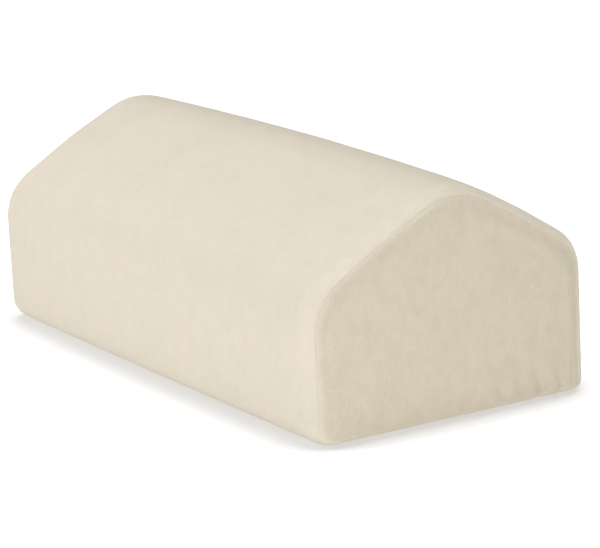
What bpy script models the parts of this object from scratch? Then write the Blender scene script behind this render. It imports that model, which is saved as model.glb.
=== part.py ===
"""Knee elevation pillow: a long five-sided wedge in a sewn cover of pile cloth.

Metres, +Z up. The ridge runs along X, the front wall faces -Y and the origin is
the middle of the flat base. Three closed pieces: the filled body in its wrap
panel, and a sewn end panel over each end.
"""
import math
from collections import namedtuple

import bmesh
import bpy

OBJECT_NAME = "knee_elevation_pillow"

# Driving sizes, between the sharp corners that the rounding takes off
LENGTH = 0.536
DEPTH = 0.261
FRONT_WALL = 0.1195
REAR_WALL = 0.122
RIDGE_HEIGHT = 0.1935
RIDGE_BACKSET = 0.008

# How the filling swells the cover: along the length, across a slope, at an end
CROWN = 0.0053
SLOPE_BOW = 0.0045
SLOPE_ROUNDING = 0.5
END_BULGE = 0.003
BULGE_FADE = 0.030

# Ends: the rounded edge, the seam on it, and the panel sewn inside the seam
END_RADIUS = 0.024
SEAM_TURN = 45.0
SEAM_DIP = 0.001
PANEL_THICKNESS = 0.0025
GAP = 0.0003
BASE_TAPER = 0.42
MIN_RADIUS = 0.003


def swollen_middle(shoulder_y, shoulder_z):
    """Return the middle of the slope between a shoulder and the ridge, bowed outward."""
    run_y, run_z = RIDGE_BACKSET - shoulder_y, RIDGE_HEIGHT - shoulder_z
    length = math.hypot(run_y, run_z)
    outward = math.copysign(1.0, shoulder_y)
    return (shoulder_y + run_y / 2 + outward * run_z / length * SLOPE_BOW,
            shoulder_z + run_z / 2 + abs(run_y) / length * SLOPE_BOW)


# The corners of the cross-section, anticlockwise seen from +X, from the front of
# the base. softening is how much rounder a corner is at the end seam than along
# the body. crown and taper say how much of the body's crown and of the ends'
# rounding the side after the corner takes, and side_steps how finely it is cut.
Corner = namedtuple("Corner", "y z radius softening arc_steps crown taper side_steps")
CORNERS = (
    Corner(-DEPTH / 2, 0.0, 0.022, 0.0, 5, 0.0, BASE_TAPER, 22),
    Corner(DEPTH / 2, 0.0, 0.013, 0.0, 4, 1.0, 1.0, 5),
    Corner(DEPTH / 2, REAR_WALL, 0.035, 0.004, 6, 1.0, 1.0, 2),
    Corner(*swollen_middle(DEPTH / 2, REAR_WALL), SLOPE_ROUNDING, 0.0, 2, 1.0, 1.0, 2),
    Corner(RIDGE_BACKSET, RIDGE_HEIGHT, 0.057, 0.004, 8, 1.0, 1.0, 2),
    Corner(*swollen_middle(-DEPTH / 2, FRONT_WALL), SLOPE_ROUNDING, 0.0, 2, 1.0, 1.0, 2),
    Corner(-DEPTH / 2, FRONT_WALL, 0.044, 0.012, 7, 1.0, 1.0, 5),
)

# Rings: stations along the body, turns round an end's edge in degrees from the
# walls, and shares of the outline across an end's face
BODY_STATIONS = 13
WRAP_TURNS = (13.0, 26.0, 38.0)
PANEL_TURNS = (53.0, 70.0, 90.0)
FACE_SHARES = (0.93, 0.82, 0.65, 0.4, 0.15)

# Pull folds that run up the near end from its bottom edge, next to the rear
# corner: distance from that corner, width, depth and height of each.
Fold = namedtuple("Fold", "from_rear width depth height")
PULL_FOLDS = (
    Fold(0.015, 0.014, 0.0014, 0.034),
    Fold(0.044, 0.016, 0.0012, 0.030),
    Fold(0.080, 0.014, 0.0010, 0.024),
)


def crown_at(x):
    """Return how far the cover stands proud at station x along the length."""
    return CROWN * (1.0 - (2.0 * x / LENGTH) ** 2)


def moved_corners(inset, crown):
    """Return the sharp corners after each side is moved out by crown and in by inset."""
    lines = []
    for corner, after in zip(CORNERS, CORNERS[1:] + CORNERS[:1]):
        run_y, run_z = after.y - corner.y, after.z - corner.z
        length = math.hypot(run_y, run_z)
        run_y, run_z = run_y / length, run_z / length
        out = corner.crown * crown - corner.taper * inset
        lines.append((corner.y + run_z * out, corner.z - run_y * out, run_y, run_z))
    points = []
    for (y0, z0, dy0, dz0), (y1, z1, dy1, dz1) in zip(lines[-1:] + lines[:-1], lines):
        along = ((y1 - y0) * dz1 - (z1 - z0) * dy1) / (dy0 * dz1 - dz0 * dy1)
        points.append((y0 + dy0 * along, z0 + dz0 * along))
    return points


def corner_radius(corner, inset, crown):
    """Return a corner's radius on the outline that is inset by that much."""
    seam_inset = END_RADIUS * (1.0 - math.cos(math.radians(SEAM_TURN)))
    softened = corner.softening * min(inset / seam_inset, 1.0)
    return max(corner.radius + crown - inset + softened, MIN_RADIUS)


def corner_arc(sharp, index, radius):
    """Return the points of the arc that rounds one sharp corner."""
    y, z = sharp[index]
    back_y, back_z = sharp[index - 1]
    next_y, next_z = sharp[(index + 1) % len(sharp)]
    start = math.atan2(z - back_z, y - back_y) - math.pi / 2
    turn = (math.atan2(next_z - z, next_y - y) - math.pi / 2 - start) % (2 * math.pi)
    reach = radius / math.cos(turn / 2)
    centre_y = y - reach * math.cos(start + turn / 2)
    centre_z = z - reach * math.sin(start + turn / 2)
    steps = CORNERS[index].arc_steps
    angles = [start + turn * step / steps for step in range(steps + 1)]
    return [(centre_y + radius * math.cos(a), centre_z + radius * math.sin(a)) for a in angles]


def outline(inset, crown):
    """Return the rounded cross-section as (y, z) points, from the front of the base."""
    sharp = moved_corners(inset, crown)
    arcs = [corner_arc(sharp, index, corner_radius(corner, inset, crown))
            for index, corner in enumerate(CORNERS)]
    points = []
    for corner, arc, next_arc in zip(CORNERS, arcs, arcs[1:] + arcs[:1]):
        points += arc
        (y0, z0), (y1, z1) = arc[-1], next_arc[0]
        for step in range(1, corner.side_steps):
            share = step / corner.side_steps
            points.append((y0 + (y1 - y0) * share, z0 + (z1 - z0) * share))
    return points


def ring(x, inset=0.0):
    """Return the cross-section at station x, drawn in by inset."""
    return [(x, y, z) for y, z in outline(inset, crown_at(x))]


def turned_ring(end, degrees, depth=0.0):
    """Return a ring on the end's rounded edge, depth below the cover's surface.

    end is 1 for the near end and -1 for the far end; 0 degrees lies on the walls
    and 90 degrees in the plane of the end.
    """
    angle = math.radians(degrees)
    radius = END_RADIUS - depth
    x = LENGTH / 2 - END_RADIUS + radius * math.sin(angle)
    return ring(end * x, END_RADIUS - radius * math.cos(angle))


def face_bulge(y, z):
    """Return how far an end's face stands proud at a point, fading to its rim."""
    bulge = END_BULGE
    sharp = moved_corners(END_RADIUS, 0.0)
    for (y0, z0), (y1, z1) in zip(sharp, sharp[1:] + sharp[:1]):
        run_y, run_z = y1 - y0, z1 - z0
        inside = (run_y * (z - z0) - run_z * (y - y0)) / math.hypot(run_y, run_z)
        bulge *= 1.0 - math.exp(-max(inside, 0.0) / BULGE_FADE)
    return bulge


def pull(y, z):
    """Return how deep the pull folds draw the near end in at a point of its face."""
    depth = 0.0
    for fold in PULL_FOLDS:
        across = (y - (DEPTH / 2 - fold.from_rear)) / (fold.width / 2)
        depth += fold.depth * math.exp(-across ** 2) * math.exp(-(z / fold.height) ** 2)
    return depth


def drawn_in(end, points, share):
    """Return a ring of the near end's panel with that share of the pull folds in it."""
    if end < 0:
        return points
    return [(x - share * pull(y, z), y, z) for x, y, z in points]


def face_rings(end, rim):
    """Return the rings of an end's bulging face, from its rim to near its middle."""
    middle_z = sum(z for _x, _y, z in rim) / len(rim)
    rings = []
    for share in FACE_SHARES:
        points = []
        for x, y, z in rim:
            at_y, at_z = y * share, middle_z + (z - middle_z) * share
            points.append((x + end * face_bulge(at_y, at_z), at_y, at_z))
        rings.append(drawn_in(end, points, 1.0))
    return rings


def loft(name, rings, material, collection):
    """Skin closed rings of equal length in order, and cap the first and the last."""
    bm = bmesh.new()
    loops = [[bm.verts.new(point) for point in points] for points in rings]
    for before, after in zip(loops, loops[1:]):
        for index in range(len(before)):
            follow = (index + 1) % len(before)
            bm.faces.new((before[index], before[follow], after[follow], after[index]))
    bm.faces.new(loops[0])
    bm.faces.new(loops[-1])
    bmesh.ops.recalc_face_normals(bm, faces=bm.faces)
    mesh = bpy.data.meshes.new(name)
    bm.to_mesh(mesh)
    bm.free()
    mesh.materials.append(material)
    mesh.shade_smooth()
    mesh.set_sharp_from_angle(angle=math.radians(40.0))
    piece = bpy.data.objects.new(name, mesh)
    collection.objects.link(piece)
    return piece


def body_end(end):
    """Return the body's rings at one end, from the walls to its face under the panel."""
    under = PANEL_THICKNESS + GAP
    rings = [turned_ring(end, turn) for turn in WRAP_TURNS]
    rings.append(turned_ring(end, SEAM_TURN, SEAM_DIP))
    rings += [turned_ring(end, turn, under) for turn in (SEAM_TURN,) + PANEL_TURNS]
    return rings


def wedge_body(material, collection):
    """Model the filled wedge in its wrap panel."""
    reach = LENGTH / 2 - END_RADIUS
    last = BODY_STATIONS - 1
    middle = [ring(reach * (2.0 * station / last - 1.0)) for station in range(BODY_STATIONS)]
    rings = body_end(-1)[::-1] + middle + body_end(1)
    return loft("wedge_body", rings, material, collection)


def end_panel(name, end, material, collection):
    """Model one end panel: a thin sheet whose rim is turned back to the seam."""
    rim_turn = SEAM_TURN + math.degrees(GAP / END_RADIUS)
    inner = [turned_ring(end, turn, PANEL_THICKNESS) for turn in (rim_turn,) + PANEL_TURNS]
    outer = [turned_ring(end, rim_turn, SEAM_DIP)]
    for turn in PANEL_TURNS:
        outer.append(drawn_in(end, turned_ring(end, turn), turn / 90.0))
    rings = inner[::-1] + outer + face_rings(end, turned_ring(end, PANEL_TURNS[-1]))
    return loft(name, rings, material, collection)


def pile_cloth(name, color):
    """Make the matt cream of brushed pile cloth."""
    material = bpy.data.materials.new(name)
    material.use_nodes = True
    shader = material.node_tree.nodes["Principled BSDF"]
    shader.inputs["Base Color"].default_value = (*color, 1.0)
    shader.inputs["Roughness"].default_value = 0.9
    shader.inputs["Metallic"].default_value = 0.0
    return material


def main():
    """Clear the file and model the pillow in a collection of its own."""
    for thing in list(bpy.data.objects):
        bpy.data.objects.remove(thing, do_unlink=True)
    collection = bpy.data.collections.new(OBJECT_NAME)
    bpy.context.scene.collection.children.link(collection)
    wrap = pile_cloth("wrap_pile", (0.80, 0.73, 0.61))
    near = pile_cloth("near_end_pile", (0.78, 0.71, 0.59))
    far = pile_cloth("far_end_pile", (0.78, 0.71, 0.59))
    wedge_body(wrap, collection)
    end_panel("end_panel_right", 1, near, collection)
    end_panel("end_panel_left", -1, far, collection)


main()
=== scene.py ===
"""The knee elevation pillow in its cover: a wedge of foam in brushed pile cloth.

Metres, in the frame's own axes: +X along the ridge towards the near end, -Y the
front wall, +Z up, with the origin in the middle of the flat base.
"""
import math
from collections import namedtuple

import bmesh
import bpy
import numpy as np
from mathutils import Matrix, Vector, noise
from mathutils.kdtree import KDTree


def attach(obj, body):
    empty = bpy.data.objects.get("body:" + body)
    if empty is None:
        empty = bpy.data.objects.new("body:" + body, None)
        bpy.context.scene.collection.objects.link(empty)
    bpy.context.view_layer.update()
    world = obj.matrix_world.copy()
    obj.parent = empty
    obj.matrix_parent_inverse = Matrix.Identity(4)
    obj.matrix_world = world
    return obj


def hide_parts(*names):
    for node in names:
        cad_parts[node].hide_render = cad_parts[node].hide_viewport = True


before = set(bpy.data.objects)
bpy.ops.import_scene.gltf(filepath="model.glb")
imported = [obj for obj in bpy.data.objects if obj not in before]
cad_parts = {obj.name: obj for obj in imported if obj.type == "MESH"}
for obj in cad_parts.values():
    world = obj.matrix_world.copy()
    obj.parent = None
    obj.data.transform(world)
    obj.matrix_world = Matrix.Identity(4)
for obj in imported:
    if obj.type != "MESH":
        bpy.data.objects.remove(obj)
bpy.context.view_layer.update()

# Driving sizes, between the sharp corners that the rounding takes off
LENGTH = 0.536
DEPTH = 0.261
FRONT_WALL = 0.1195
REAR_WALL = 0.122
RIDGE_HEIGHT = 0.1935
RIDGE_BACKSET = 0.008

# How the filling swells the cover: along the length, across a slope, at an end. The
# cover is blown up from here, so these are a little less than the pillow's own.
CROWN = 0.0043
SLOPE_BOW = 0.0037
SLOPE_ROUNDING = 0.5
END_BULGE = 0.0015
BULGE_FADE = 0.030

# Ends: the rounded edge, the seam on it, and the cloth of the panel inside it
END_RADIUS = 0.024
SEAM_TURN = 45.0
PANEL_THICKNESS = 0.0022
CLEARANCE = 0.0001
BASE_TAPER = 0.42
MIN_RADIUS = 0.003


def swollen_middle(shoulder_y, shoulder_z):
    """Return the middle of the slope between a shoulder and the ridge, bowed outward."""
    run_y, run_z = RIDGE_BACKSET - shoulder_y, RIDGE_HEIGHT - shoulder_z
    length = math.hypot(run_y, run_z)
    outward = math.copysign(1.0, shoulder_y)
    return (shoulder_y + run_y / 2 + outward * run_z / length * SLOPE_BOW,
            shoulder_z + run_z / 2 + abs(run_y) / length * SLOPE_BOW)


# The corners of the cross-section, anticlockwise seen from +X, from the front of
# the base. softening is how much rounder a corner is at the end seam. crown and
# taper say how much of the swelling and of the ends' rounding the side after the
# corner takes, and seam how strongly the end's seam is drawn in there.
Corner = namedtuple("Corner", "y z radius softening arc_steps crown taper side_steps seam")
CORNERS = (
    Corner(-DEPTH / 2, 0.0, 0.022, 0.0, 24, 0.0, BASE_TAPER, 168, 0.10),
    Corner(DEPTH / 2, 0.0, 0.013, 0.0, 16, 1.0, 1.0, 60, 0.60),
    Corner(DEPTH / 2, REAR_WALL, 0.035, 0.004, 24, 1.0, 1.0, 14, 0.30),
    Corner(*swollen_middle(DEPTH / 2, REAR_WALL), SLOPE_ROUNDING, 0.0, 41, 1.0, 1.0, 7, 0.75),
    Corner(RIDGE_BACKSET, RIDGE_HEIGHT, 0.057, 0.004, 40, 1.0, 1.0, 7, 1.00),
    Corner(*swollen_middle(-DEPTH / 2, FRONT_WALL), SLOPE_ROUNDING, 0.0, 41, 1.0, 1.0, 11, 0.10),
    Corner(-DEPTH / 2, FRONT_WALL, 0.044, 0.012, 30, 1.0, 1.0, 53, 0.05),
)

# Steps round an outline from the middle of one corner's arc to the next: along
# the base, up the rear wall, over the slopes and down the front wall
ACROSS = 188
UPWARD = 80

# Rings: stations along the body, turns round an end's edge in degrees from the
# walls, and shares of the outline across a hidden face
BODY_STATIONS = 78
WRAP_TURNS = tuple(np.linspace(1.8, SEAM_TURN, 27)[:-1])
PANEL_TURNS = tuple(np.linspace(SEAM_TURN, 90.0, 24)[1:])
HIDDEN_TURNS = (45.0, 58.0, 74.0, 90.0)
HIDDEN_SHARES = (0.93, 0.82, 0.65, 0.4, 0.15)

# The seam: a soft edge where the two panels meet, a valley on it, and beside it
# the low band of its turned-in allowance, with a second, finer line past the band
EDGE_RISE = 0.0005
EDGE_REACH = 0.0060
EDGE_ROUNDING = 0.0015
VALLEY_DEPTH = 0.0012
VALLEY_WIDTH = 0.0016
BAND_WIDTH = 0.0060
BAND_HEIGHT = 0.0004
BAND_STEEPNESS = 2.0
LINE_DEPTH = 0.0008
LINE_WIDTH = 0.0009

# Puckers along the seam: height, length, how far to the sides they reach, and the
# share of their height below which they are left out
PUCKER_HEIGHT = 0.0005
PUCKER_LENGTH = 0.0045
PUCKER_REACH = 0.0075
PUCKER_LIMIT = 0.01

# Pull folds that run up the near end from its bottom edge, next to the rear
# corner: distance from that corner, width, depth and height, and how far the top
# leans to the front for each metre up. They fade over the foot, where it stands.
Fold = namedtuple("Fold", "from_rear width depth height lean")
PULL_FOLDS = (
    Fold(0.0115, 0.0040, 0.0010, 0.014, 0.00),
    Fold(0.0150, 0.0060, 0.0026, 0.021, 0.14),
    Fold(0.0260, 0.0080, 0.0018, 0.019, 0.36),
    Fold(0.0385, 0.0080, 0.0008, 0.020, 0.30),
    Fold(0.0455, 0.0110, 0.0026, 0.024, 0.33),
    Fold(0.0665, 0.0120, 0.0012, 0.032, 0.23),
    Fold(0.0830, 0.0120, 0.0014, 0.026, 0.33),
)
FOLD_FOOT = 0.004

# The plain skin that is blown up round the filling: turns round an end's edge,
# stations along the body, and the size of the even mesh that is simulated
SKIN_TURNS = (8.0, 20.0, 32.0, 45.0, 58.0, 70.0, 80.0, 90.0)
SKIN_STATIONS = 40
SKIN_VOXEL = 0.006

# How it is blown up: the pressure in it, the cloth's stiffness, steps for each
# frame and the number of frames
PRESSURE = 4.0
STIFFNESS = 15.0
CLOTH_QUALITY = 5
LAST_FRAME = 20

# How far from a seam and from the base it is held, and how soon it is held fully
HELD_REACH = 0.008
HELD_FIRMNESS = 1.5

# The most that the cover may swell, and how far its moves are evened out
SWELL_LIMIT = 0.0016
SWELL_REACH = 0.013

# Edges of a piece that turn by more than this, in degrees, stay sharp
SHARP_ANGLE = 50.0

# Soft unevenness of cloth over foam: height and length of its waves, and the height
# over which it fades where the pillow stands
UNEVEN = ((0.00022, 0.045), (0.00008, 0.016))
BASE_FADE = 0.006

# Light: the white tent all round, a broad soft light from above and three lamps
Lamp = namedtuple("Lamp", "name place aim size power")
TENT_STRENGTH = 0.01
OVERHEAD_STRENGTH = 2.3
OVERHEAD_PLACE = (0.0, 0.2, 1.0)
OVERHEAD_SPREAD = 70.0
LAMPS = (
    Lamp("front_light", (1.00, -1.20, 0.50), (0.20, 0.0, 0.05), 0.8, 1.8),
    Lamp("slope_light", (-0.50, -1.50, 1.10), (-0.10, 0.0, 0.10), 0.8, 12.2),
    Lamp("end_light", (1.90, -0.50, 0.35), (0.25, 0.0, 0.10), 0.8, 8.7),
)

# The white dome, and the floor: its grey, how much it glows of itself beside the
# pillow and in the open, where the lower glow beside the pillow is a painted contact
# shadow, how far the pillow dims it, and the openness that the painted shadow runs
# between, with its samples
BACKDROP_RADIUS = 18.0
FLOOR_SPAN = 45.0
FLOOR_GREY = 0.50
GLOW_IN_PAINTED_SHADOW = 0.43
GLOW_OPEN = 0.72
PAINTED_SHADOW_REACH = 0.036
PAINTED_SHADOW_OPENNESS = (0.5, 1.0)
GLOW_SAMPLES = 16

# Camera: where it stands round the pillow, in degrees and metres, and its lens
CAMERA_AZIMUTH = 59.200
CAMERA_ELEVATION = 14.287
CAMERA_ROLL = -2.859
CAMERA_DISTANCE = 2.6138
CAMERA_RIGHT = 0.02002
CAMERA_UP = -0.03047
AIM_HEIGHT = 0.1
SENSOR_WIDTH = 36.0
LENS = 184.75

# One cream cloth, painted lighter where its nap lies flat on the front and the
# slopes. It is painted darker on the ends, both for their upright nap and as painted
# shade, and on the rear side as painted shade. The painted shade turns between two
# distances from the middle, a little sooner for each metre up, and by a smaller
# share between two places across the ridge.
LIT_FLAT_NAP = (0.798, 0.719, 0.607)
SHADED_UPRIGHT_NAP = (0.707, 0.626, 0.495)
END_SHADE_TURN = (0.2614, 0.2670)
SOONER_ABOVE = 0.015
REAR_SHADE_TURN = (-0.030, 0.025)
REAR_SHADE_SHARE = 0.34

# Painted shade and light on an end, which bring out its folds: how much darker the
# cloth is painted for its turn to the rear, how far a turn to the front counts as
# painted lighter, and how squarely it must face along the pillow
REAR_FACING_SHADE = 0.22
FRONT_FACING_LIGHT_LIMIT = -0.04
END_FACING = (0.88, 0.95)

# Noise in the cloth: its scale for each axis, per metre, how fine it goes and how
# much it is twisted. The strokes of the nap run along another axis on the ends.
Grain = namedtuple("Grain", "stretch detail twist")
PATCHES = Grain((22.0, 22.0, 22.0), 2.0, 0.0)
MOTTLE = Grain((90.0, 90.0, 70.0), 4.0, 0.6)
WRAP_STROKES = Grain((750.0, 230.0, 230.0), 3.0, 1.4)
END_STROKES = Grain((230.0, 750.0, 230.0), 3.0, 1.4)
FIBRES = Grain((1600.0, 1600.0, 1600.0), 2.0, 0.0)
NOISE_ROUGHNESS = 0.55

# Tints that the noise mixes in, while it runs from the first value to the second
Tint = namedtuple("Tint", "start full color")
PATCH_TINT = Tint(0.40, 0.62, (0.975, 0.990, 0.975))
MOTTLE_TINT = Tint(0.42, 0.66, (0.955, 0.955, 0.945))
DARK_STROKE_TINT = Tint(0.58, 0.74, (0.90, 0.90, 0.88))
LIGHT_STROKE_TINT = Tint(0.42, 0.27, (1.08, 1.07, 1.05))

# How strongly the cloth is mottled: little where the nap lies flat
WRAP_MOTTLING = 0.5
END_MOTTLING = 1.0

# How the pile reflects light, and how high, in metres, its strokes and fibres stand
CLOTH_ROUGHNESS = 0.92
CLOTH_SPECULAR = 0.15
SHEEN_WEIGHT = 0.15
SHEEN_ROUGHNESS = 0.45
SHEEN_TINT = (1.0, 0.97, 0.90, 1.0)
BUMP_STRENGTH = 0.5
STROKE_HEIGHT = 0.0008
FIBRE_HEIGHT = 0.0003

# Sockets of a node that mixes colours: its two inputs and its result
MIX_FIRST = 6
MIX_SECOND = 7
MIX_RESULT = 2

WHITE = (1.0, 1.0, 1.0, 1.0)


def crown_at(x):
    """Return how far the cover stands proud at station x along the length."""
    return CROWN * (1.0 - (2.0 * x / LENGTH) ** 2)


def moved_corners(inset, crown):
    """Return the sharp corners after each side is moved out by crown and in by inset."""
    lines = []
    for corner, after in zip(CORNERS, CORNERS[1:] + CORNERS[:1]):
        run_y, run_z = after.y - corner.y, after.z - corner.z
        length = math.hypot(run_y, run_z)
        run_y, run_z = run_y / length, run_z / length
        out = corner.crown * crown - corner.taper * inset
        lines.append((corner.y + run_z * out, corner.z - run_y * out, run_y, run_z))
    points = []
    for (y0, z0, dy0, dz0), (y1, z1, dy1, dz1) in zip(lines[-1:] + lines[:-1], lines):
        along = ((y1 - y0) * dz1 - (z1 - z0) * dy1) / (dy0 * dz1 - dz0 * dy1)
        points.append((y0 + dy0 * along, z0 + dz0 * along))
    return points


def corner_radius(corner, inset, crown):
    """Return a corner's radius on the outline that is inset by that much."""
    seam_inset = END_RADIUS * (1.0 - math.cos(math.radians(SEAM_TURN)))
    softened = corner.softening * min(inset / seam_inset, 1.0)
    return max(corner.radius + crown - inset + softened, MIN_RADIUS)


def corner_arc(sharp, index, radius):
    """Return the arc that rounds one sharp corner, and the outward directions on it."""
    y, z = sharp[index]
    back_y, back_z = sharp[index - 1]
    next_y, next_z = sharp[(index + 1) % len(sharp)]
    start = math.atan2(z - back_z, y - back_y) - math.pi / 2
    turn = (math.atan2(next_z - z, next_y - y) - math.pi / 2 - start) % (2 * math.pi)
    reach = radius / math.cos(turn / 2)
    half = start + turn / 2
    centre = np.array((y, z)) - reach * np.array((math.cos(half), math.sin(half)))
    angles = np.linspace(start, start + turn, CORNERS[index].arc_steps + 1)
    outward = np.column_stack((np.cos(angles), np.sin(angles)))
    return centre + radius * outward, outward


def outline(inset, crown):
    """Return the rounded cross-section as (y, z) points, with outward directions.

    It starts in the middle of the front corner of the base.
    """
    sharp = moved_corners(inset, crown)
    arcs = [corner_arc(sharp, index, corner_radius(corner, inset, crown))
            for index, corner in enumerate(CORNERS)]
    points, outward = [], []
    for corner, (arc, out), (next_arc, _) in zip(CORNERS, arcs, arcs[1:] + arcs[:1]):
        points += [arc[:-1], np.linspace(arc[-1], next_arc[0], corner.side_steps, endpoint=False)]
        outward += [out[:-1], np.repeat(out[-1:], corner.side_steps, axis=0)]
    back = -CORNERS[0].arc_steps // 2
    return np.roll(np.vstack(points), back, axis=0), np.roll(np.vstack(outward), back, axis=0)


def seam_strength():
    """Return how strongly the seam is drawn in at each point of an outline."""
    places, strengths = [], []
    at = -CORNERS[0].arc_steps / 2
    for corner in CORNERS:
        places.append(at + corner.arc_steps / 2)
        strengths.append(corner.seam)
        at += corner.arc_steps + corner.side_steps
    count = 2 * (ACROSS + UPWARD)
    return np.interp(np.arange(count), places, strengths, period=count)


def waves(points, length):
    """Return smooth noise between -1 and 1 at each point, with waves of that length."""
    return np.array([noise.noise(Vector(point) / length) for point in points])


def seam_relief(points, across):
    """Return how far the cover stands out at a distance across the seam.

    across is in metres, below zero on the wrap's side and above it on the panel's.
    """
    strength = seam_strength()
    valley = math.exp(-(across / VALLEY_WIDTH) ** 2)
    edge = EDGE_RISE * math.exp(-math.hypot(across, EDGE_ROUNDING) / EDGE_REACH)
    relief = edge - VALLEY_DEPTH * strength * valley
    if across < 0.0:
        past = (-across - BAND_WIDTH) / LINE_WIDTH
        band = 1.0 / (1.0 + math.exp(BAND_STEEPNESS * past)) - valley
        relief += strength * (BAND_HEIGHT * band - LINE_DEPTH * math.exp(-past ** 2))
    pucker = math.exp(-(across / PUCKER_REACH) ** 2)
    if pucker > PUCKER_LIMIT:
        relief += PUCKER_HEIGHT * pucker * strength * waves(points, PUCKER_LENGTH)
    return relief


def pull(points):
    """Return how deep the pull folds draw the near end in at points of its face."""
    depth = np.zeros(len(points))
    y, z = points[:, 1], points[:, 2]
    for fold in PULL_FOLDS:
        across = (y - (DEPTH / 2 - fold.from_rear) + fold.lean * z) / (fold.width / 2)
        depth += fold.depth * np.exp(-across ** 2) * np.exp(-(z / fold.height) ** 2)
    return depth * (1.0 - np.exp(-(z / FOLD_FOOT) ** 2))


def unevenness(points):
    """Return the soft waves of the cover at each point, fading where it stands."""
    height = sum(rise * waves(points, length) for rise, length in UNEVEN)
    return height * np.clip(points[:, 2] / BASE_FADE, 0.0, 1.0)


def body_place(x):
    """Return the plain cover's ring at station x along the body, and outward directions."""
    points, outward = outline(0.0, crown_at(x))
    surface = np.column_stack((np.full(len(points), x), points))
    return surface, np.column_stack((np.zeros(len(points)), outward))


def turned_place(end, degrees):
    """Return the plain cover's ring on an end's rounded edge, and outward directions.

    end is 1 for the near end and -1 for the far end; 0 degrees lies on the walls
    and 90 degrees in the plane of the end.
    """
    angle = math.radians(degrees)
    x = LENGTH / 2 - END_RADIUS + END_RADIUS * math.sin(angle)
    points, outward = outline(END_RADIUS * (1.0 - math.cos(angle)), crown_at(x))
    surface = np.column_stack((np.full(len(points), end * x), points))
    along = np.full(len(points), end * math.sin(angle))
    return surface, np.column_stack((along, outward * math.cos(angle)))


def body_ring(x, swell):
    """Return the finished cover's ring at station x along the body."""
    surface, outward = body_place(x)
    past = LENGTH / 2 - END_RADIUS - abs(x)
    across = -(math.radians(SEAM_TURN) * END_RADIUS + past)
    relief = unevenness(surface) + seam_relief(surface, across)
    return settle(surface + swell(surface) + outward * relief[:, None])


def turned_ring(end, degrees, swell, depth=0.0):
    """Return a finished ring on an end's rounded edge, depth below the surface."""
    surface, outward = turned_place(end, degrees)
    angle = math.radians(degrees)
    across = END_RADIUS * (angle - math.radians(SEAM_TURN))
    relief = unevenness(surface) + seam_relief(surface, across) - depth
    if end > 0:
        relief -= pull(surface) * math.sin(angle)
    return settle(surface + swell(surface) + outward * relief[:, None])


def settle(points):
    """Keep the cover on or above the surface that it stands on."""
    points[:, 2] = np.maximum(points[:, 2], 0.0)
    return points


def face_bulge(points):
    """Return how far an end's face stands proud at its points, fading to its rim."""
    bulge = np.full(len(points), END_BULGE)
    sharp = moved_corners(END_RADIUS, 0.0)
    for (y0, z0), (y1, z1) in zip(sharp, sharp[1:] + sharp[:1]):
        run_y, run_z = y1 - y0, z1 - z0
        inside = run_y * (points[:, 2] - z0) - run_z * (points[:, 1] - y0)
        inside = np.maximum(inside / math.hypot(run_y, run_z), 0.0)
        bulge *= 1.0 - np.exp(-inside / BULGE_FADE)
    return bulge


def face_place(end, points):
    """Return points of an end's plane moved out onto the plain cover's face."""
    moved = points.copy()
    moved[:, 0] = end * (LENGTH / 2 + face_bulge(points))
    return moved


def face_point(end, points, swell, depth=0.0):
    """Return points of an end's plane moved onto its finished face, depth below it."""
    surface = face_place(end, points)
    relief = unevenness(surface) - depth
    if end > 0:
        relief -= pull(surface)
    finished = surface + swell(surface)
    finished[:, 0] += end * relief
    return finished


def flat_rim(end):
    """Return the plain outline of an end's face, in the plane of the end."""
    points, _ = outline(END_RADIUS, 0.0)
    return np.column_stack((np.full(len(points), end * LENGTH / 2), points))


def shrunk_rims(end):
    """Return the rim of an end's face shrunk towards its middle, in its plane."""
    rim = flat_rim(end)
    middle = rim.mean(axis=0)
    return [middle + (rim - middle) * share for share in HIDDEN_SHARES]


def hidden_face(end, swell, depth):
    """Return rings of an end's face that nothing shows, from its rim to its middle."""
    return [face_point(end, ring, swell, depth) for ring in shrunk_rims(end)]


def face_grid(end, swell):
    """Return the inner points of an end's face, in rows that run up the panel."""
    rim = flat_rim(end)
    bottom = rim[:ACROSS + 1]
    rear = rim[ACROSS:ACROSS + UPWARD + 1]
    top = rim[ACROSS + UPWARD:2 * ACROSS + UPWARD + 1][::-1]
    front = np.vstack((rim[2 * ACROSS + UPWARD:], rim[:1]))[::-1]
    u = np.linspace(0.0, 1.0, ACROSS + 1)[:, None, None]
    v = np.linspace(0.0, 1.0, UPWARD + 1)[None, :, None]
    grid = (1 - v) * bottom[:, None] + v * top[:, None] + (1 - u) * front[None] + u * rear[None]
    grid -= (1 - u) * (1 - v) * bottom[0] + u * (1 - v) * bottom[-1]
    grid -= (1 - u) * v * top[0] + u * v * top[-1]
    inner = grid[1:-1, 1:-1]
    return face_point(end, inner.reshape(-1, 3), swell)


def strip_faces(count, rings):
    """Return the quads between that many rings of count points each."""
    faces = []
    for ring in range(rings - 1):
        for index in range(count):
            follow = (index + 1) % count
            faces.append((ring * count + index, ring * count + follow,
                          (ring + 1) * count + follow, (ring + 1) * count + index))
    return faces


def capped_faces(rings):
    """Return the quads between the rings, with a cap on the first and on the last."""
    count = len(rings[0])
    last = (len(rings) - 1) * count
    caps = [tuple(range(count)), tuple(range(last, last + count))]
    return strip_faces(count, len(rings)) + caps


def grid_faces(rim_start, inner_start):
    """Return the quads of a face's grid, whose border is the rim's own points."""
    def corner(column, row):
        if row == 0:
            return rim_start + column
        if column == ACROSS:
            return rim_start + ACROSS + row
        if row == UPWARD:
            return rim_start + 2 * ACROSS + UPWARD - column
        if column == 0:
            return rim_start + 2 * (ACROSS + UPWARD) - row
        return inner_start + (column - 1) * (UPWARD - 1) + row - 1

    return [(corner(i, j), corner(i + 1, j), corner(i + 1, j + 1), corner(i, j + 1))
            for i in range(ACROSS) for j in range(UPWARD)]


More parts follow.
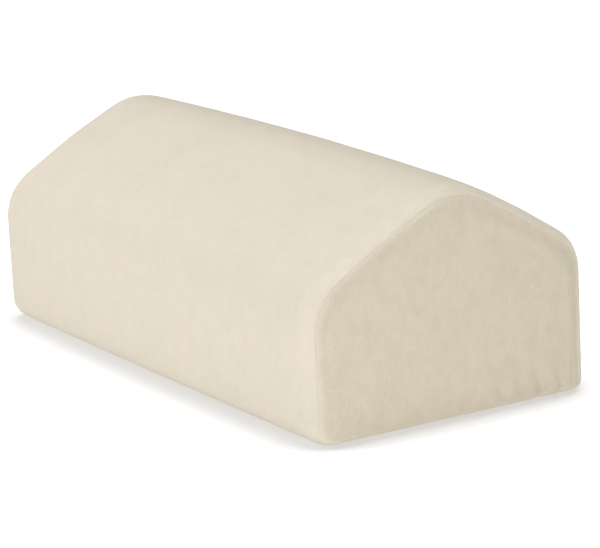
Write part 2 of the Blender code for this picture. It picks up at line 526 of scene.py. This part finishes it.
def make_piece(name, points, faces, material):
    """Make one closed piece of the cover from its points and faces."""
    mesh = bpy.data.meshes.new(name)
    mesh.from_pydata(points.tolist(), [], faces)
    bm = bmesh.new()
    bm.from_mesh(mesh)
    bmesh.ops.recalc_face_normals(bm, faces=bm.faces)
    bm.to_mesh(mesh)
    bm.free()
    if material:
        mesh.materials.append(material)
    mesh.shade_smooth()
    mesh.set_sharp_from_angle(angle=math.radians(SHARP_ANGLE))
    piece = bpy.data.objects.new(name, mesh)
    bpy.context.scene.collection.objects.link(piece)
    return piece


def body_end(end, swell):
    """Return the body's rings at one end, from the walls to its face under the panel."""
    under = PANEL_THICKNESS + CLEARANCE
    rings = [turned_ring(end, turn, swell) for turn in WRAP_TURNS]
    rings.append(turned_ring(end, SEAM_TURN, swell))
    rings += [turned_ring(end, turn, swell, under) for turn in HIDDEN_TURNS]
    return rings + hidden_face(end, swell, under)


def wedge_cover(material, swell):
    """Make the filled wedge in its wrap panel."""
    reach = LENGTH / 2 - END_RADIUS
    middle = [body_ring(x, swell) for x in np.linspace(-reach, reach, BODY_STATIONS)]
    rings = body_end(-1, swell)[::-1] + middle + body_end(1, swell)
    return make_piece("foam_wedge_wrap", np.vstack(rings), capped_faces(rings), material)


def end_cover(name, end, material, swell):
    """Make one end panel: a thin sheet, its rim turned back to the seam."""
    rim_turn = SEAM_TURN + math.degrees(CLEARANCE / END_RADIUS)
    hidden = hidden_face(end, swell, PANEL_THICKNESS)[::-1]
    hidden += [turned_ring(end, turn, swell, PANEL_THICKNESS) for turn in HIDDEN_TURNS[:0:-1]]
    hidden.append(turned_ring(end, rim_turn, swell, PANEL_THICKNESS))
    shown = [turned_ring(end, turn, swell) for turn in (rim_turn,) + PANEL_TURNS]
    rings = hidden + shown
    count = len(rings[0])
    faces = strip_faces(count, len(rings))
    faces.append(tuple(range(count)))
    faces += grid_faces((len(rings) - 1) * count, len(rings) * count)
    points = np.vstack(rings + [face_grid(end, swell)])
    return make_piece(name, points, faces, material)


def blank_skin():
    """Make the whole cover's plain outer skin, of evenly spread faces."""
    reach = LENGTH / 2 - END_RADIUS
    rings = [body_place(x)[0] for x in np.linspace(-reach, reach, SKIN_STATIONS)]
    for end in (-1, 1):
        outer = [turned_place(end, turn)[0] for turn in SKIN_TURNS]
        outer += [face_place(end, ring) for ring in shrunk_rims(end)]
        rings = rings + outer if end > 0 else outer[::-1] + rings
    skin = make_piece("blank_skin", np.vstack(rings), capped_faces(rings), None)
    remesh = skin.modifiers.new("even", "REMESH")
    remesh.mode = "VOXEL"
    remesh.voxel_size = SKIN_VOXEL
    graph = bpy.context.evaluated_depsgraph_get()
    even = bpy.data.meshes.new_from_object(skin.evaluated_get(graph))
    skin.modifiers.clear()
    skin.data = even
    return skin


def search_tree(points):
    """Return a tree that finds the nearest of the points."""
    tree = KDTree(len(points))
    for index, point in enumerate(points):
        tree.insert(point, index)
    tree.balance()
    return tree


def hold_seams(skin):
    """Hold the skin along the two seams and where it stands, and return the group's name."""
    tree = search_tree(np.vstack([turned_place(end, SEAM_TURN)[0] for end in (-1, 1)]))
    held = skin.vertex_groups.new(name="held")
    for vertex in skin.data.vertices:
        near_seam = 1.0 - tree.find(vertex.co)[2] / HELD_REACH
        near_base = 1.0 - vertex.co.z / HELD_REACH
        weight = min(HELD_FIRMNESS * max(near_seam, near_base), 1.0)
        if weight > 0.0:
            held.add([vertex.index], weight, "REPLACE")
    return held.name


def mesh_points(mesh):
    """Return a mesh's points as an array."""
    values = np.zeros(3 * len(mesh.vertices))
    mesh.vertices.foreach_get("co", values)
    return values.reshape(-1, 3)


def inflate(skin):
    """Simulate the skin as cloth with air in it, and return how far each point moves."""
    cloth = skin.modifiers.new("cloth", "CLOTH")
    cloth.settings.quality = CLOTH_QUALITY
    cloth.settings.vertex_group_mass = hold_seams(skin)
    cloth.settings.tension_stiffness = STIFFNESS
    cloth.settings.compression_stiffness = STIFFNESS
    cloth.settings.use_pressure = True
    cloth.settings.uniform_pressure_force = PRESSURE
    cloth.settings.effector_weights.gravity = 0.0
    cloth.collision_settings.use_collision = False
    scene = bpy.context.scene
    for frame_number in range(1, LAST_FRAME + 1):
        scene.frame_set(frame_number)
    graph = bpy.context.evaluated_depsgraph_get()
    moved = mesh_points(skin.evaluated_get(graph).data) - mesh_points(skin.data)
    scene.frame_set(1)
    return moved


def outward_moves(skin, moved):
    """Keep only the outward part of the moves, and limit it softly.

    The filling keeps the cover from sinking in.
    """
    normals = np.array([vertex.normal for vertex in skin.data.vertices])
    outward = np.maximum((moved * normals).sum(axis=1), 0.0)
    return normals * (SWELL_LIMIT * np.tanh(outward / SWELL_LIMIT))[:, None]


def simulated_swell():
    """Blow up a plain skin of the cover, and return the field of its moves."""
    skin = blank_skin()
    moves = outward_moves(skin, inflate(skin))
    tree = search_tree(mesh_points(skin.data))
    bpy.data.objects.remove(skin, do_unlink=True)

    def swell(points):
        result = np.zeros_like(points)
        for row, point in enumerate(points):
            near = tree.find_range(point, SWELL_REACH)
            weights = np.array([1.0 - distance / SWELL_REACH for _, _, distance in near]) ** 2
            rows = [index for _, index, _ in near]
            result[row] = weights @ moves[rows] / weights.sum()
        return result

    return swell


def node(tree, kind, **values):
    """Add a node to a material's tree, and set its sockets and options by name."""
    made = tree.nodes.new(kind)
    for name, value in values.items():
        if hasattr(made, name):
            setattr(made, name, value)
        else:
            made.inputs[name.replace("_", " ")].default_value = value
    return made


def ranged(tree, value, span, result, **options):
    """Return a value carried over from the two ends of a span to those of a result."""
    made = node(tree, "ShaderNodeMapRange", **options)
    names = ("From Min", "From Max", "To Min", "To Max")
    for name, number in zip(names, (*span, *result)):
        made.inputs[name].default_value = number
    tree.links.new(value, made.inputs["Value"])
    return made.outputs["Result"]


def stepped(tree, value, span, most):
    """Return a smooth step from 0 to most while a value runs across a span."""
    return ranged(tree, value, span, (0.0, most), interpolation_type="SMOOTHSTEP")


def stretched_noise(tree, coordinates, grain):
    """Return the height of noise whose grain is stretched along the object's axes."""
    mapping = node(tree, "ShaderNodeMapping", Scale=grain.stretch)
    made = node(tree, "ShaderNodeTexNoise", Scale=1.0, Detail=grain.detail,
                Roughness=NOISE_ROUGHNESS, Distortion=grain.twist)
    tree.links.new(coordinates, mapping.inputs["Vector"])
    tree.links.new(mapping.outputs["Vector"], made.inputs["Vector"])
    return made.outputs["Fac"]


def tinted(tree, color, height, tint, strength):
    """Mix a tint into a colour where a noise has the tint's heights."""
    mix = node(tree, "ShaderNodeMix", data_type="RGBA", blend_type="MULTIPLY")
    mix.inputs[MIX_SECOND].default_value = (*tint.color, 1.0)
    factor = ranged(tree, height, (tint.start, tint.full), (0.0, strength))
    tree.links.new(factor, mix.inputs["Factor"])
    tree.links.new(color, mix.inputs[MIX_FIRST])
    return mix.outputs[MIX_RESULT]


def nap_and_painted_shade(tree, coordinates):
    """Return the cloth's colour with painted shade on the ends and on the rear side, partly for
    the nap.
    """
    axes = node(tree, "ShaderNodeSeparateXYZ")
    distance = node(tree, "ShaderNodeMath", operation="ABSOLUTE")
    reach = node(tree, "ShaderNodeMath", operation="MULTIPLY_ADD")
    reach.inputs[1].default_value = SOONER_ABOVE
    share = node(tree, "ShaderNodeMath", operation="MAXIMUM")
    mix = node(tree, "ShaderNodeMix", data_type="RGBA")
    mix.inputs[MIX_FIRST].default_value = (*LIT_FLAT_NAP, 1.0)
    mix.inputs[MIX_SECOND].default_value = (*SHADED_UPRIGHT_NAP, 1.0)
    tree.links.new(coordinates, axes.inputs["Vector"])
    tree.links.new(axes.outputs["X"], distance.inputs[0])
    tree.links.new(axes.outputs["Z"], reach.inputs[0])
    tree.links.new(distance.outputs[0], reach.inputs[2])
    tree.links.new(stepped(tree, reach.outputs[0], END_SHADE_TURN, 1.0), share.inputs[0])
    tree.links.new(stepped(tree, axes.outputs["Y"], REAR_SHADE_TURN, REAR_SHADE_SHARE), share.inputs[1])
    tree.links.new(share.outputs[0], mix.inputs["Factor"])
    return mix.outputs[MIX_RESULT]


def painted_facing_shade(tree, color):
    """Paint shade into a colour where an end's cloth faces the rear, and paint light where it
    faces the front.
    """
    normal = node(tree, "ShaderNodeSeparateXYZ")
    along = node(tree, "ShaderNodeMath", operation="ABSOLUTE")
    backward = node(tree, "ShaderNodeMath", operation="MAXIMUM")
    backward.inputs[1].default_value = FRONT_FACING_LIGHT_LIMIT
    facing = node(tree, "ShaderNodeMath", operation="MULTIPLY")
    shade = node(tree, "ShaderNodeMath", operation="MULTIPLY_ADD")
    shade.inputs[1].default_value = -REAR_FACING_SHADE
    shade.inputs[2].default_value = 1.0
    scaled = node(tree, "ShaderNodeVectorMath", operation="SCALE")
    # Painted shade and light: the colour follows the normal's turn to the rear or the front
    tree.links.new(node(tree, "ShaderNodeNewGeometry").outputs["Normal"], normal.inputs["Vector"])
    tree.links.new(normal.outputs["X"], along.inputs[0])
    tree.links.new(stepped(tree, along.outputs[0], END_FACING, 1.0), facing.inputs[0])
    tree.links.new(normal.outputs["Y"], backward.inputs[0])
    tree.links.new(backward.outputs[0], facing.inputs[1])
    tree.links.new(facing.outputs[0], shade.inputs[0])
    tree.links.new(color, scaled.inputs[0])
    tree.links.new(shade.outputs[0], scaled.inputs["Scale"])
    return scaled.outputs["Vector"]


def new_material(name, **values):
    """Make a material, and return it with its tree and its shader, set by socket name."""
    material = bpy.data.materials.new(name)
    material.use_nodes = True
    tree = material.node_tree
    shader = tree.nodes["Principled BSDF"]
    for socket, value in values.items():
        shader.inputs[socket.replace("_", " ")].default_value = value
    return material, tree, shader


def pile_color(tree, coordinates, strokes, mottling):
    """Return the cloth's colour with its painted shade, its patches, its mottling and the nap's
    strokes.
    """
    patches = stretched_noise(tree, coordinates, PATCHES)
    mottle = stretched_noise(tree, coordinates, MOTTLE)
    # Painted shade: darker ends and rear side, and painted shade and light by how an end's folds
    # face
    color = painted_facing_shade(tree, nap_and_painted_shade(tree, coordinates))
    color = tinted(tree, color, patches, PATCH_TINT, 1.0)
    color = tinted(tree, color, mottle, MOTTLE_TINT, mottling)
    color = tinted(tree, color, strokes, DARK_STROKE_TINT, mottling)
    return tinted(tree, color, strokes, LIGHT_STROKE_TINT, mottling)


def pile_bump(tree, strokes, fibres):
    """Return the surface direction of the pile, with its strokes and its fibres."""
    coarse = node(tree, "ShaderNodeBump", Strength=BUMP_STRENGTH, Distance=STROKE_HEIGHT)
    fine = node(tree, "ShaderNodeBump", Strength=BUMP_STRENGTH, Distance=FIBRE_HEIGHT)
    tree.links.new(strokes, coarse.inputs["Height"])
    tree.links.new(fibres, fine.inputs["Height"])
    tree.links.new(coarse.outputs["Normal"], fine.inputs["Normal"])
    return fine.outputs["Normal"]


def pile_cloth(name, stroke_grain, mottling):
    """Make brushed pile cloth with that grain, mottled by a strength from 0 to 1."""
    material, tree, shader = new_material(
        name, Roughness=CLOTH_ROUGHNESS, Specular_IOR_Level=CLOTH_SPECULAR,
        Sheen_Weight=SHEEN_WEIGHT, Sheen_Roughness=SHEEN_ROUGHNESS, Sheen_Tint=SHEEN_TINT)
    coordinates = node(tree, "ShaderNodeTexCoord").outputs["Object"]
    strokes = stretched_noise(tree, coordinates, stroke_grain)
    fibres = stretched_noise(tree, coordinates, FIBRES)
    color = pile_color(tree, coordinates, strokes, mottling)
    tree.links.new(color, shader.inputs["Base Color"])
    tree.links.new(pile_bump(tree, strokes, fibres), shader.inputs["Normal"])
    return material


def studio_floor():
    """Lay a plain white floor that glows of itself, with a painted contact shadow where it glows
    less beside the pillow.
    """
    bpy.ops.mesh.primitive_plane_add(size=FLOOR_SPAN)
    floor = bpy.context.object
    floor.name = "studio_floor"
    material, tree, shader = new_material(
        "white_floor", Base_Color=(FLOOR_GREY, FLOOR_GREY, FLOOR_GREY, 1.0), Roughness=1.0,
        Specular_IOR_Level=0.0, Emission_Color=WHITE)
    # Painted contact shadow: the floor's glow dims where the pillow shuts off the open
    openness = node(tree, "ShaderNodeAmbientOcclusion", samples=GLOW_SAMPLES, Distance=PAINTED_SHADOW_REACH)
    glow = ranged(tree, openness.outputs["AO"], PAINTED_SHADOW_OPENNESS, (GLOW_IN_PAINTED_SHADOW, GLOW_OPEN))
    tree.links.new(glow, shader.inputs["Emission Strength"])
    floor.data.materials.append(material)


def white_backdrop():
    """Put a white dome far round everything, which only the camera sees."""
    bpy.ops.mesh.primitive_uv_sphere_add(radius=BACKDROP_RADIUS)
    dome = bpy.context.object
    dome.name = "white_backdrop"
    material, _, _ = new_material("white_backdrop", Base_Color=(0.0, 0.0, 0.0, 1.0),
                                  Emission_Color=WHITE, Emission_Strength=1.0)
    dome.data.materials.append(material)
    dome.visible_diffuse = False
    dome.visible_glossy = False
    dome.visible_shadow = False


def hang(name, light, place, aim):
    """Hang a light at its place, pointed at its aim, out of the camera's sight."""
    lamp = bpy.data.objects.new(name, light)
    lamp.location = place
    lamp.rotation_euler = (Vector(aim) - Vector(place)).to_track_quat("-Z", "Y").to_euler()
    lamp.visible_camera = False
    bpy.context.scene.collection.objects.link(lamp)


def studio_light():
    """Light the pillow softly from all round, from above and from the front."""
    world = bpy.data.worlds.new("white_tent")
    world.use_nodes = True
    background = world.node_tree.nodes["Background"]
    background.inputs["Color"].default_value = WHITE
    background.inputs["Strength"].default_value = TENT_STRENGTH
    bpy.context.scene.world = world
    overhead = bpy.data.lights.new("overhead_light", "SUN")
    overhead.angle = math.radians(OVERHEAD_SPREAD)
    overhead.energy = OVERHEAD_STRENGTH
    hang("overhead_light", overhead, OVERHEAD_PLACE, (0.0, 0.0, 0.0))
    for lamp in LAMPS:
        light = bpy.data.lights.new(lamp.name, "AREA")
        light.shape = "SQUARE"
        light.size = lamp.size
        light.energy = lamp.power
        hang(lamp.name, light, lamp.place, lamp.aim)
    bpy.context.scene.view_settings.view_transform = "Standard"


def photo_camera():
    """Stand the camera at the photograph's angle."""
    azimuth, elevation, roll = map(math.radians, (CAMERA_AZIMUTH, CAMERA_ELEVATION, CAMERA_ROLL))
    back = Vector((math.sin(azimuth) * math.cos(elevation),
                   -math.cos(azimuth) * math.cos(elevation), math.sin(elevation)))
    level = Vector((math.cos(azimuth), math.sin(azimuth), 0.0))
    rise = back.cross(level)
    right = math.cos(roll) * level + math.sin(roll) * rise
    up = math.cos(roll) * rise - math.sin(roll) * level
    data = bpy.data.cameras.new("photo_camera")
    data.sensor_width = SENSOR_WIDTH
    data.lens = LENS
    camera = bpy.data.objects.new("photo_camera", data)
    place = Vector((0.0, 0.0, AIM_HEIGHT)) + CAMERA_DISTANCE * back
    place += CAMERA_RIGHT * right + CAMERA_UP * up
    facing = Matrix((right, up, back)).transposed().to_4x4()
    camera.matrix_world = Matrix.Translation(place) @ facing
    bpy.context.scene.collection.objects.link(camera)
    bpy.context.scene.camera = camera


def main():
    photo_camera()
    studio_light()
    studio_floor()
    white_backdrop()
    wrap_cloth = pile_cloth("wrap_cloth", WRAP_STROKES, WRAP_MOTTLING)
    end_cloth = pile_cloth("end_cloth", END_STROKES, END_MOTTLING)
    swell = simulated_swell()
    wedge = wedge_cover(wrap_cloth, swell)
    near = end_cover("near_end_cloth", 1, end_cloth, swell)
    far = end_cover("far_end_cloth", -1, end_cloth, swell)
    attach(wedge, "root")
    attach(near, "root")
    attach(far, "root")
    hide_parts("wedge_body")
    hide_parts("end_panel_right")
    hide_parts("end_panel_left")


main()
